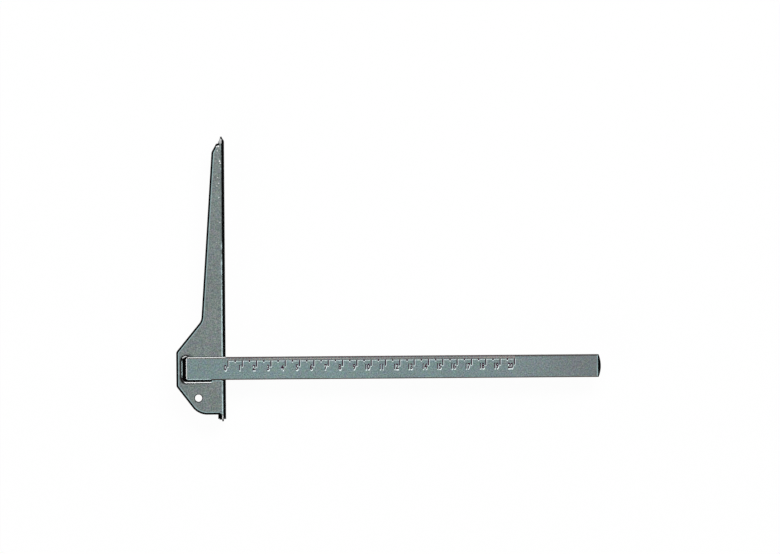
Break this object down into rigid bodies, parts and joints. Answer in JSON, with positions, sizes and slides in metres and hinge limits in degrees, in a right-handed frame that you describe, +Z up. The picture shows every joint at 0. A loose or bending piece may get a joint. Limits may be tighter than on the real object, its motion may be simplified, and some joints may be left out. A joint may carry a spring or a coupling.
{
  "type": "t square",
  "caption": "Marking T square: folded sheet-metal head with a tapered arm, a plastic-guarded fence and a drawn pocket, in which a graduated metal tube blade is riveted; the blade ends in a domed plug.",
  "frame": {"origin": "on the fence's working face, where the blade's centreline crosses it at the level of the blade's underside", "axes": "+X along the blade, away from the fence; +Y along the arm; +Z up through the blade's graduated face, the side that is read"},
  "size_m": [0.2964, 0.1988, 0.0212],
  "materials": {
    "grey_enamel_head": "satin grey-green stoving enamel on steel sheet",
    "black_plastic_guard": "satin black extruded plastic",
    "grey_enamel_blade": "satin grey-green stoving enamel on steel tube, dark engraved scale",
    "black_plastic_plug": "satin black moulded plastic",
    "rivet_aluminium": "plain aluminium",
    "mandrel_steel": "plain steel"
  },
  "bodies": {
    "root": {"head_plate": "grey_enamel_head", "fence_guard": "black_plastic_guard", "blade_tube": "grey_enamel_blade", "tail_plug": "black_plastic_plug", "rivet_bodies": "rivet_aluminium", "rivet_mandrels": "mandrel_steel"}
  },
  "joints": []
}
